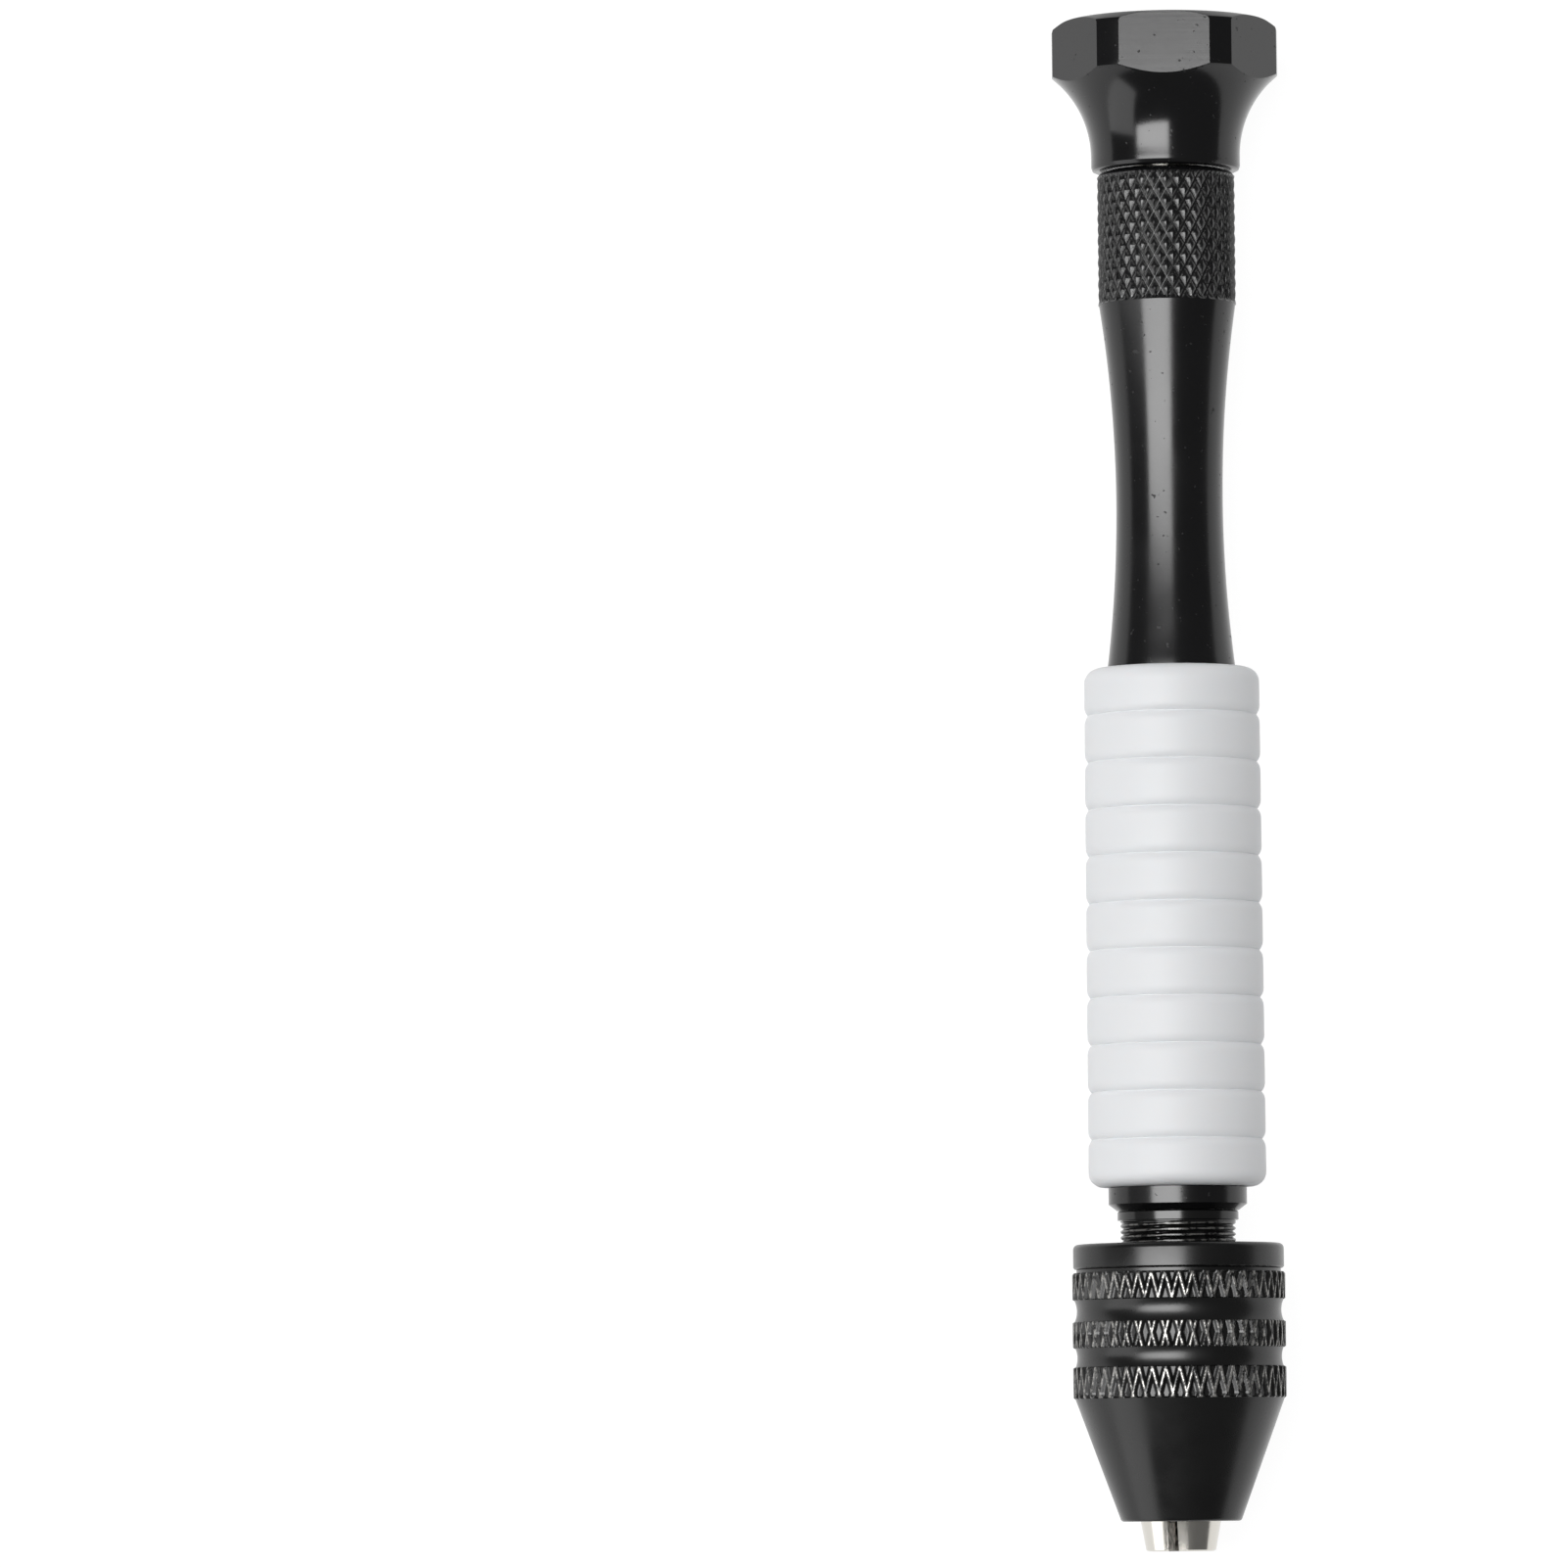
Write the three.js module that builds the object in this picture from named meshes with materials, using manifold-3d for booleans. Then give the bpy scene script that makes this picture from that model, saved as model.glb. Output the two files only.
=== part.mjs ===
// A pin vise drill: a slim hand drill with a swivelling palm cap, a ribbed grip and a keyless
// three-jaw chuck. Millimetres, +Z up. The tool lies along Y on its chuck sleeve, with the cap
// at +Y and the jaws at -Y.
//
// Everything is drawn upright first, about the Y axis, with its height u counted from the jaw
// tips, and the last group lays it down. A turned outline is a list of [radius, u] that runs
// anticlockwise: up the outside, then down the bore. Angles about the tool run from +Z to +X.

import * as THREE from "three";
import { mergeVertices } from "three/addons/utils/BufferGeometryUtils.js";
import Module from "manifold-3d";

const wasm = await Module();
wasm.setup();

// Overall, and how finely each size of round piece is faceted
const LENGTH = 133;
const LARGE_SIDES = 40;
const SMALL_SIDES = 24;
const BALL_SIDES = 10;

// Gaps between pieces that touch on the real tool
const FACE_GAP = 0.06;
const PRESS_GAP = 0.1;
const THREAD_GAP = 0.15;

// Jaws: three sectors of a taper that the sleeve closes. They are cut from one bar when shut,
// then each stands out from the axis by JAW_OPEN.
const JAW_ANGLES = [-74, 46, 166];
const JAW_OPEN = 0.46;
const JAW_LENGTH = 11.14;
const JAW_TIP_R = 2.64;
const JAW_NOSE_R = 3.09;
const JAW_TAPER = Math.tan(THREE.MathUtils.degToRad(14));
const JAW_SHUT_GAP = 0.1;
const JAW_BITE_R = 0.15;
const COS60 = Math.cos(Math.PI / 3);
const SIN60 = Math.sin(Math.PI / 3);

// Springs that spread the jaws, placed as with the jaws shut
const SPRING_U = 8.5;
const SPRING_CENTRE_R = 3.1;
const SPRING_R = 0.55;
const SPRING_HOLE_R = 0.7;
const SPRING_HOLE_DEPTH = 1.6;

// Chuck sleeve, from its nose to its open end
const NOSE_U = 2.58;
const NOSE_R = 5.25;
const NOSE_EDGE = 0.3;
const CONE_END_R = 9.05;
const BAND_R = 9.25;
const GROOVE_R = 8.85;
const BAND_EDGE = 0.25;
const BANDS = [
  [13.15, 15.93],
  [17.57, 19.85],
  [21.73, 24.08],
];
const SLEEVE_END_U = 24.36;
const SLEEVE_TAPER_GAP = 0.24;
const CHAMBER_R = 7.3;

// Threaded bush pressed in the sleeve's open end
const BUSH_FRONT_U = 18.6;
const BUSH_R = 7.6;
const BUSH_RIM_U = 24.42;
const BUSH_END_U = 26.56;
const BUSH_RIM_R = 9.13;

// Chuck core: pusher, M10 x 0.5 thread, neck
const CORE_FRONT_U = 11.2;
const PUSHER_R = 4.55;
const THREAD_START_U = 16;
const THREAD_R = 4.95;
const NECK_U = 28.57;
const NECK_R = 5.25;
const CORE_BORE_R = 1.8;
const CORE_SOCKET_U = 21;

// Handle
const STUD_R = 2.9;
const STUD_U = 21.8;
const FLANGE_U = 29.46;
const FLANGE_FACE_R = 5.3;
const FLANGE_RIM_U = 30;
const BAR_R = 6;
const FLANGE_TOP_U = 31.42;
const GRIP_SEAT_R = 5.5;
const WAIST_U = 91.1;
const WAIST_R = 4.64;
const WAIST_ARC_R = 114;
const KNURL_U = 108.3;
const HANDLE_END_U = 119.8;
const HANDLE_EDGE = 0.3;
const TAP_RUNOUT = 0.3;

// Grip
const GRIP_TOP_U = 76.56;
const GRIP_FRONT_R = 7.7;
const GRIP_BACK_R = 7.6;
const GRIP_RIBS = 11;
const GRIP_GROOVE = 0.25;
const GRIP_GROOVE_HALF = 0.4;
const GRIP_END_R = 1.3;

// Swivel cap
const CAP_U = 120;
const COLLAR_R = 6.49;
const COLLAR_EDGE = 0.4;
const FLARE_U = 121.3;
const FLARE_ARC_R = 9.1;
const HEX_CORNER_R = 9.86;
const HEX_APOTHEM = 9;
const CAP_END_EDGE = 0.6;
const CAP_FACE_R = 9;
const SCREW_CHAMBER_R = 4.4;
const DISC_R = 7;
const DISC_U = 131.5;
const DISC_RECESS = 0.1;

// Ball bearing in the cap, 4 x 10 x 4
const BEARING_U = 121.2;
const BEARING_WIDTH = 4;
const BEARING_R = 5;
const BEARING_BORE_R = 2;
const BALLS = 7;
const BALL_R = 0.9;
const BALL_PITCH_R = 3.5;
const SHOULDER_OUT_R = 4.1;
const SHOULDER_IN_R = 2.9;
const RACE_GAP = 0.05;
const SHIELD_THICK = 0.15;
const CAGE_HALF_WALL = 0.4;
const CAGE_POCKET_R = 1;
const CAGE_FRONT = 0.9;
const CAGE_BACK = 1.4;

// Shoulder screw that the cap turns on
const SCREW_R = 1.85;
const SCREW_FRONT_U = 113.8;
const SCREW_HEAD_R = 3.4;
const SCREW_HEAD_LENGTH = 3;
const SCREW_SOCKET_R = 1.7;
const SCREW_SOCKET_DEPTH = 1.6;
const WASHER_THICK = 0.5;
const WASHER_R = 3.1;
const SPACER_R = 2.8;

const material = (color, metalness, roughness) =>
  new THREE.MeshStandardMaterial({ color, metalness, roughness });
const BLACK_ANODISED = material(0x1b1b1c, 0.6, 0.35);
const BLACK_STEEL = material(0x242526, 0.8, 0.35);
const BRIGHT_STEEL = material(0xc9c7c1, 1, 0.25);
const WHITE_SILICONE = material(0xe4e6e7, 0, 0.6);
const BRASS = material(0xb08d4a, 1, 0.35);

/** A bar or ring turned about Y. A ring's outline is closed here. */
function turned(outline, sides = LARGE_SIDES) {
  const points = outline.map(([r, u]) => new THREE.Vector2(r, u));
  if (outline.every(([r]) => r > 0)) points.push(points[0].clone());
  return new THREE.LatheGeometry(points, sides, Math.PI / sides);
}

/** A plain ring of rectangular section. */
function ring(innerR, outerR, fromU, toU, sides = SMALL_SIDES) {
  return turned(
    [
      [innerR, fromU],
      [outerR, fromU],
      [outerR, toU],
      [innerR, toU],
    ],
    sides,
  );
}

/** Points along a circular arc in the outline's plane, ends included. */
function arc([centreR, centreU], radius, fromDeg, toDeg, steps) {
  return Array.from({ length: steps + 1 }, (_, i) => {
    const a = THREE.MathUtils.degToRad(fromDeg + ((toDeg - fromDeg) * i) / steps);
    return [centreR + radius * Math.cos(a), centreU + radius * Math.sin(a)];
  });
}

function solid(geometry) {
  const bare = geometry.clone().deleteAttribute("normal").deleteAttribute("uv");
  const merged = mergeVertices(bare, 1e-4);
  return new wasm.Manifold(
    new wasm.Mesh({
      numProp: 3,
      vertProperties: merged.attributes.position.array,
      triVerts: new Uint32Array(merged.index.array),
    }),
  );
}

function geometryOf(manifold) {
  const { vertProperties, triVerts } = manifold.getMesh();
  return new THREE.BufferGeometry()
    .setAttribute("position", new THREE.BufferAttribute(vertProperties, 3))
    .setIndex(new THREE.BufferAttribute(triVerts, 1));
}

function piece(name, geometry, itsMaterial) {
  const mesh = new THREE.Mesh(geometry, itsMaterial);
  mesh.name = name;
  return mesh;
}

function handleBody() {
  const waistR = (u) => WAIST_R + (u - WAIST_U) ** 2 / (2 * WAIST_ARC_R);
  const steps = 8;
  const waist = Array.from({ length: steps + 1 }, (_, i) => {
    const u = GRIP_TOP_U + ((KNURL_U - GRIP_TOP_U) * i) / steps;
    return [waistR(u), u];
  });
  const holeR = SCREW_R + THREAD_GAP;
  const outline = [
    [0, STUD_U],
    [STUD_R, STUD_U],
    [STUD_R, FLANGE_U],
    [FLANGE_FACE_R, FLANGE_U],
    [BAR_R, FLANGE_RIM_U],
    [BAR_R, FLANGE_TOP_U],
    [GRIP_SEAT_R, FLANGE_TOP_U],
    ...waist,
    [BAR_R, KNURL_U],
    [BAR_R, HANDLE_END_U - HANDLE_EDGE],
    [BAR_R - HANDLE_EDGE, HANDLE_END_U],
    [holeR, HANDLE_END_U],
    [holeR, SCREW_FRONT_U - TAP_RUNOUT],
    [0, SCREW_FRONT_U - TAP_RUNOUT],
  ];
  return piece("handle_body", turned(outline), BLACK_ANODISED);
}

function gripSleeve() {
  const pitch = (GRIP_TOP_U - FLANGE_TOP_U) / GRIP_RIBS;
  const outerR = (u) =>
    THREE.MathUtils.mapLinear(u, FLANGE_TOP_U, GRIP_TOP_U, GRIP_FRONT_R, GRIP_BACK_R);
  const grooves = Array.from({ length: GRIP_RIBS - 1 }, (_, i) => {
    const u = FLANGE_TOP_U + pitch * (i + 1);
    return [
      [outerR(u), u - GRIP_GROOVE_HALF],
      [outerR(u) - GRIP_GROOVE, u],
      [outerR(u), u + GRIP_GROOVE_HALF],
    ];
  }).flat();
  const front = FLANGE_TOP_U + FACE_GAP;
  const frontCentre = [GRIP_FRONT_R - GRIP_END_R, front + GRIP_END_R];
  const backCentre = [GRIP_BACK_R - GRIP_END_R, GRIP_TOP_U - GRIP_END_R];
  const outline = [
    [GRIP_SEAT_R + THREAD_GAP, front],
    ...arc(frontCentre, GRIP_END_R, -90, 0, 3),
    ...grooves,
    ...arc(backCentre, GRIP_END_R, 0, 90, 3),
    [GRIP_SEAT_R + THREAD_GAP, GRIP_TOP_U],
  ];
  return piece("grip_sleeve", turned(outline), WHITE_SILICONE);
}

function chuckCore() {
  const socketR = STUD_R + THREAD_GAP;
  const leadIn = THREAD_R - PUSHER_R;
  const outline = [
    [CORE_BORE_R, CORE_FRONT_U],
    [PUSHER_R, CORE_FRONT_U],
    [PUSHER_R, THREAD_START_U],
    [THREAD_R, THREAD_START_U + leadIn],
    [THREAD_R, NECK_U],
    [NECK_R, NECK_U],
    [NECK_R, FLANGE_U - FACE_GAP],
    [socketR, FLANGE_U - FACE_GAP],
    [socketR, CORE_SOCKET_U],
    [CORE_BORE_R, CORE_SOCKET_U],
  ];
  return piece("chuck_core", turned(outline), BLACK_STEEL);
}

function chuckSleeve() {
  const bands = BANDS.flatMap(([from, to], i) => [
    [i ? GROOVE_R : CONE_END_R, from],
    [BAND_R, from + BAND_EDGE],
    [BAND_R, to - BAND_EDGE],
    [GROOVE_R, to],
  ]);
  const boreR = JAW_NOSE_R + JAW_OPEN + SLEEVE_TAPER_GAP;
  const taperEndU = NOSE_U + (CHAMBER_R - boreR) / JAW_TAPER;
  const seatR = BUSH_R + PRESS_GAP;
  const outline = [
    [boreR, NOSE_U],
    [NOSE_R - NOSE_EDGE, NOSE_U],
    [NOSE_R, NOSE_U + NOSE_EDGE],
    ...bands,
    [GROOVE_R, SLEEVE_END_U],
    [seatR, SLEEVE_END_U],
    [seatR, BUSH_FRONT_U - FACE_GAP],
    [CHAMBER_R, taperEndU],
  ];
  return piece("chuck_sleeve", turned(outline), BLACK_STEEL);
}

function threadedBush() {
  const boreR = THREAD_R + THREAD_GAP;
  const edge = 0.4;
  const outline = [
    [boreR, BUSH_FRONT_U],
    [BUSH_R, BUSH_FRONT_U],
    [BUSH_R, BUSH_RIM_U],
    [BUSH_RIM_R, BUSH_RIM_U],
    [BUSH_RIM_R, BUSH_END_U - edge],
    [BUSH_RIM_R - edge, BUSH_END_U],
    [boreR, BUSH_END_U],
  ];
  return piece("threaded_bush", turned(outline), BLACK_STEEL);
}

/** A bar along the line that joins two neighbouring jaws, square to the gap at this angle. */
function acrossGap(radius, length, gapDeg, centreR) {
  const a = THREE.MathUtils.degToRad(gapDeg);
  return new THREE.CylinderGeometry(radius, radius, length, 12)
    .rotateX(Math.PI / 2)
    .rotateY(a + Math.PI / 2)
    .translate(centreR * Math.sin(a), SPRING_U, centreR * Math.cos(a));
}

/** The wedge of one jaw, with a narrow flat where it bites the drill bit. */
function jawWedge(centreDeg) {
  const reach = 12;
  const apex = JAW_SHUT_GAP / 2 / SIN60;
  const biteHalf = (JAW_BITE_R - apex) * (SIN60 / COS60);
  const side = apex + reach * COS60;
  const outline = [
    [JAW_BITE_R, -biteHalf],
    [side, -reach * SIN60],
    [reach, -reach * SIN60],
    [reach, reach * SIN60],
    [side, reach * SIN60],
    [JAW_BITE_R, biteHalf],
  ];
  const shape = new THREE.Shape(outline.map(([out, across]) => new THREE.Vector2(across, -out)));
  return new THREE.ExtrudeGeometry(shape, { depth: 2 * JAW_LENGTH, bevelEnabled: false })
    .rotateX(-Math.PI / 2)
    .rotateY(THREE.MathUtils.degToRad(centreDeg))
    .translate(0, -JAW_LENGTH / 2, 0);
}

function jaw(index) {
  const centreDeg = JAW_ANGLES[index];
  const cone = turned([
    [0, 0],
    [JAW_TIP_R, 0],
    [JAW_NOSE_R, NOSE_U],
    [JAW_NOSE_R + (JAW_LENGTH - NOSE_U) * JAW_TAPER, JAW_LENGTH],
    [0, JAW_LENGTH],
  ]);
  const holeLength = 2 * SPRING_HOLE_DEPTH + JAW_SHUT_GAP;
  const holes = [-60, 60].map((side) =>
    solid(acrossGap(SPRING_HOLE_R, holeLength, centreDeg + side, SPRING_CENTRE_R)),
  );
  const cut = holes.reduce(
    (body, hole) => body.subtract(hole),
    solid(cone).intersect(solid(jawWedge(centreDeg))),
  );
  const a = THREE.MathUtils.degToRad(centreDeg);
  const mesh = piece(`jaw_${index + 1}`, geometryOf(cut), BRIGHT_STEEL);
  mesh.position.set(JAW_OPEN * Math.sin(a), 0, JAW_OPEN * Math.cos(a));
  return mesh;
}

function jawSpring(index) {
  const length = 2 * (SPRING_HOLE_DEPTH - FACE_GAP) + JAW_SHUT_GAP + 2 * JAW_OPEN * SIN60;
  const centreR = SPRING_CENTRE_R + JAW_OPEN * COS60;
  const bar = acrossGap(SPRING_R, length, JAW_ANGLES[index] + 60, centreR);
  return piece(`jaw_spring_${index + 1}`, bar, BRIGHT_STEEL);
}

function swivelCap() {
  const endDeg = THREE.MathUtils.radToDeg(Math.acos(1 - (HEX_CORNER_R - COLLAR_R) / FLARE_ARC_R));
  const flare = arc([COLLAR_R + FLARE_ARC_R, FLARE_U], FLARE_ARC_R, 180, 180 - endDeg, 6);
  const bearingSeatR = BEARING_R + PRESS_GAP;
  const bearingTopU = BEARING_U + BEARING_WIDTH + FACE_GAP;
  const discSeatR = DISC_R + PRESS_GAP;
  const outline = [
    [bearingSeatR, CAP_U],
    [COLLAR_R - COLLAR_EDGE, CAP_U],
    [COLLAR_R, CAP_U + COLLAR_EDGE],
    ...flare,
    [HEX_CORNER_R, LENGTH - CAP_END_EDGE],
    [CAP_FACE_R, LENGTH],
    [discSeatR, LENGTH],
    [discSeatR, DISC_U - FACE_GAP],
    [SCREW_CHAMBER_R, DISC_U - FACE_GAP],
    [SCREW_CHAMBER_R, bearingTopU],
    [bearingSeatR, bearingTopU],
  ];
  const hexR = HEX_APOTHEM / Math.cos(Math.PI / 6);
  const hexHeight = 2 * (LENGTH - CAP_U);
  const hex = new THREE.CylinderGeometry(hexR, hexR, hexHeight, 6, 1, false, Math.PI / 6);
  hex.translate(0, LENGTH - CAP_END_EDGE, 0);
  const cut = solid(turned(outline)).intersect(solid(hex));
  return piece("swivel_cap", geometryOf(cut), BLACK_ANODISED);
}

function capEndDisc() {
  const edge = 0.2;
  const outline = [
    [0, DISC_U],
    [DISC_R, DISC_U],
    [DISC_R, LENGTH - DISC_RECESS - edge],
    [DISC_R - edge, LENGTH - DISC_RECESS],
    [0, LENGTH - DISC_RECESS],
  ];
  return piece("cap_end_disc", turned(outline), BLACK_ANODISED);
}

/** A bearing ring whose race is an arc about the balls' centres, on the side given by facing. */
function bearingRing(name, plainR, shoulderR, facing) {
  const midU = BEARING_U + BEARING_WIDTH / 2;
  const raceR = BALL_R + RACE_GAP;
  const halfDeg = THREE.MathUtils.radToDeg(
    Math.acos(Math.abs(shoulderR - BALL_PITCH_R) / raceR),
  );
  const shoulder = [
    [shoulderR, BEARING_U],
    [shoulderR, BEARING_U + BEARING_WIDTH],
  ];
  const plain = [
    [plainR, BEARING_U],
    [plainR, BEARING_U + BEARING_WIDTH],
  ];
  const centre = [BALL_PITCH_R, midU];
  const outline =
    facing === "out"
      ? [
          plain[0],
          shoulder[0],
          ...arc(centre, raceR, 180 + halfDeg, 180 - halfDeg, 4),
          shoulder[1],
          plain[1],
        ]
      : [
          plain[0],
          plain[1],
          shoulder[1],
          ...arc(centre, raceR, halfDeg, -halfDeg, 4),
          shoulder[0],
        ];
  return piece(name, turned(outline, SMALL_SIDES), BRIGHT_STEEL);
}

function bearingShield(name, fromU) {
  const innerR = SHOULDER_IN_R + PRESS_GAP;
  const outerR = SHOULDER_OUT_R - PRESS_GAP / 2;
  return piece(name, ring(innerR, outerR, fromU, fromU + SHIELD_THICK), BRIGHT_STEEL);
}

/** A ball-sized sphere on the bearing's pitch circle. */
function ballSphere(radius, index) {
  const a = (2 * Math.PI * index) / BALLS;
  return new THREE.SphereGeometry(radius, BALL_SIDES, BALL_SIDES / 2 + 1).translate(
    BALL_PITCH_R * Math.sin(a),
    BEARING_U + BEARING_WIDTH / 2,
    BALL_PITCH_R * Math.cos(a),
  );
}

function ballCage() {
  const midU = BEARING_U + BEARING_WIDTH / 2;
  const crown = ring(
    BALL_PITCH_R - CAGE_HALF_WALL,
    BALL_PITCH_R + CAGE_HALF_WALL,
    midU - CAGE_FRONT,
    midU + CAGE_BACK,
    5 * BALLS,
  );
  let cage = solid(crown);
  for (let i = 0; i < BALLS; i++) cage = cage.subtract(solid(ballSphere(CAGE_POCKET_R, i)));
  return piece("ball_cage", geometryOf(cage), BRASS);
}

function axleScrew() {
  const headU = BEARING_U + BEARING_WIDTH + 2 * FACE_GAP + WASHER_THICK;
  const topU = headU + SCREW_HEAD_LENGTH;
  const edge = 0.3;
  const outline = [
    [0, SCREW_FRONT_U],
    [SCREW_R, SCREW_FRONT_U],
    [SCREW_R, headU],
    [SCREW_HEAD_R, headU],
    [SCREW_HEAD_R, topU - edge],
    [SCREW_HEAD_R - edge, topU],
    [0, topU],
  ];
  const socketHeight = 2 * SCREW_SOCKET_DEPTH;
  const socket = new THREE.CylinderGeometry(SCREW_SOCKET_R, SCREW_SOCKET_R, socketHeight, 6);
  socket.translate(0, topU, 0);
  const cut = solid(turned(outline, SMALL_SIDES)).subtract(solid(socket));
  return piece("axle_screw", geometryOf(cut), BRIGHT_STEEL);
}

function thrustWasher() {
  const fromU = BEARING_U + BEARING_WIDTH + FACE_GAP;
  return piece(
    "thrust_washer",
    ring(BEARING_BORE_R, WASHER_R, fromU, fromU + WASHER_THICK),
    BRASS,
  );
}

function spacerWasher() {
  const spacer = ring(BEARING_BORE_R, SPACER_R, HANDLE_END_U + FACE_GAP, BEARING_U - FACE_GAP);
  return piece("spacer_washer", spacer, BRIGHT_STEEL);
}

const handle = new THREE.Group();
handle.add(handleBody(), gripSleeve(), chuckCore(), axleScrew(), thrustWasher(), spacerWasher());
handle.add(bearingRing("bearing_inner_ring", BEARING_BORE_R, SHOULDER_IN_R, "out"));

const cap = new THREE.Group();
const rearShieldU = BEARING_U + BEARING_WIDTH - SHIELD_THICK;
cap.add(swivelCap(), capEndDisc());
cap.add(bearingRing("bearing_outer_ring", BEARING_R, SHOULDER_OUT_R, "in"));
cap.add(bearingShield("bearing_front_shield", BEARING_U));
cap.add(bearingShield("bearing_rear_shield", rearShieldU));

const bearing = new THREE.Group();
bearing.add(ballCage());
for (let i = 0; i < BALLS; i++)
  bearing.add(piece(`bearing_ball_${i + 1}`, ballSphere(BALL_R, i), BRIGHT_STEEL));

const chuck = new THREE.Group();
chuck.add(chuckSleeve(), threadedBush());
for (let i = 0; i < JAW_ANGLES.length; i++) chuck.add(jaw(i), jawSpring(i));

// Laid on the lowest facet of the sleeve, with the middle of its length at the origin.
const pinVise = new THREE.Group();
pinVise.add(handle, cap, bearing, chuck);
pinVise.position.set(0, -LENGTH / 2, BAND_R * Math.cos(Math.PI / LARGE_SIDES));

export default pinVise;
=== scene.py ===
import math

import bpy
from mathutils import Matrix, Vector


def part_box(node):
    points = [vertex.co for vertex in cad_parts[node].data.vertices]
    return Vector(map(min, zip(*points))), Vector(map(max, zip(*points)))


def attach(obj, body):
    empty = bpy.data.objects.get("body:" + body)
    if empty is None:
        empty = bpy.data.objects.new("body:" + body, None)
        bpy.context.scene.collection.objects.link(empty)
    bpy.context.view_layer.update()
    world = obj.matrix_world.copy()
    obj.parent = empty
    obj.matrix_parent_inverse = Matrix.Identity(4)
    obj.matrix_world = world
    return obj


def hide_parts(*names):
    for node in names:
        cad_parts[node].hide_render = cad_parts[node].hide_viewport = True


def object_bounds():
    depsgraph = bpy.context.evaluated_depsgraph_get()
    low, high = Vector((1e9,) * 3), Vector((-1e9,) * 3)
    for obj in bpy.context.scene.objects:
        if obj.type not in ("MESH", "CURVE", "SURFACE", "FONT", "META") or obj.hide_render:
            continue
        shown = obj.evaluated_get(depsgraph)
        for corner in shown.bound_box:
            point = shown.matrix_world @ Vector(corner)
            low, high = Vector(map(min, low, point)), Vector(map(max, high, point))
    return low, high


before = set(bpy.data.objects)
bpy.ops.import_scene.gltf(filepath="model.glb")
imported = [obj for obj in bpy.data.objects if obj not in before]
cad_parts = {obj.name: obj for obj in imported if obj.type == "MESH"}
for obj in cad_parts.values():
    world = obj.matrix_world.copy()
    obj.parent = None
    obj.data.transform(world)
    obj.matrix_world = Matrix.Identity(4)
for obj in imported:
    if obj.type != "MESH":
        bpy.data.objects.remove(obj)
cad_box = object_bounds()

# ---------------------------------------------------------------- handle
# One bar of 12 mm aluminium, turned to a slim waist, diamond-knurled at its back end and
# anodised black. Its front end is a seat for the grip, a flange and a stud for the chuck.

MM = 0.001
TIP_Y = cad_box[0].y
AXIS_Z = (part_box("chuck_core")[0].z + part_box("chuck_core")[1].z) / 2
HANDLE_KNURL = (108.3, 119.5)
HANDLE_KNURL_LINES = 34
HANDLE_KNURL_HELIX = 30
HANDLE_KNURL_MIDDLE = 114.0
KNURL_SAMPLES = 16
WAIST_U, WAIST_R, WAIST_ARC = 91.1, 4.64, 114.0
BAR_R = 6.0


def on_axis(u):
    """The point of the tool's axis at u millimetres from the jaw tips."""
    return Vector((0, TIP_Y + u * MM, AXIS_Z))


def around(angle_deg, r, u):
    """The point r out from the axis, at an angle that runs from +Z to +X."""
    a = math.radians(angle_deg)
    return on_axis(u) + Vector((math.sin(a), 0, math.cos(a))) * r * MM


def only(piece):
    """Makes piece the one that the next operators act on."""
    if bpy.context.object and bpy.context.object.mode != "OBJECT":
        bpy.ops.object.mode_set(mode="OBJECT")
    bpy.ops.object.select_all(action="DESELECT")
    piece.select_set(True)
    bpy.context.view_layer.objects.active = piece
    return piece


def steps_between(start, end, step):
    """Heights from start to end, no further apart than step."""
    count = math.ceil((end - start) / step)
    return [start + (end - start) * i / count for i in range(count + 1)]


def bend(centre, radius, from_deg, to_deg, count):
    """Outline points along an arc."""
    angles = (math.radians(from_deg + (to_deg - from_deg) * i / count) for i in range(count + 1))
    return [(centre[0] + radius * math.cos(a), centre[1] + radius * math.sin(a)) for a in angles]


def in_order(piece):
    """Numbers a mesh's points and faces by where they lie. Spins and boolean cuts leave them in an
    order that changes from run to run, and a bevel made later would change with it."""
    mesh = piece.data
    by_place = sorted(mesh.vertices, key=lambda vertex: tuple(vertex.co))
    number = {vertex.index: i for i, vertex in enumerate(by_place)}
    faces = []
    for face in mesh.polygons:
        corners = [number[i] for i in face.vertices]
        first = corners.index(min(corners))
        faces.append(corners[first:] + corners[:first])
    points = [tuple(vertex.co) for vertex in by_place]
    mesh.clear_geometry()
    mesh.from_pydata(points, [], sorted(faces))
    return piece


def turn(name, outline, steps=192):
    """Spins an outline of (radius, height) points about the tool's axis, as on a lathe."""
    closed = all(r > 0 for r, _ in outline)
    mesh = bpy.data.meshes.new(name)
    points = [on_axis(u) + Vector((r * MM, 0, 0)) for r, u in outline]
    edges = [(i, i + 1) for i in range(len(points) - 1)]
    if closed:
        edges.append((len(points) - 1, 0))
    mesh.from_pydata(points, edges, [])
    piece = bpy.data.objects.new(name, mesh)
    bpy.context.scene.collection.objects.link(piece)
    only(piece)
    bpy.ops.object.mode_set(mode="EDIT")
    bpy.ops.mesh.select_all(action="SELECT")
    bpy.ops.mesh.spin(steps=steps, angle=math.tau, center=on_axis(0), axis=(0, 1, 0))
    bpy.ops.mesh.select_all(action="SELECT")
    bpy.ops.mesh.remove_doubles(threshold=2e-6)
    bpy.ops.mesh.normals_make_consistent(inside=False)
    bpy.ops.object.mode_set(mode="OBJECT")
    return in_order(piece)


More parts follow.
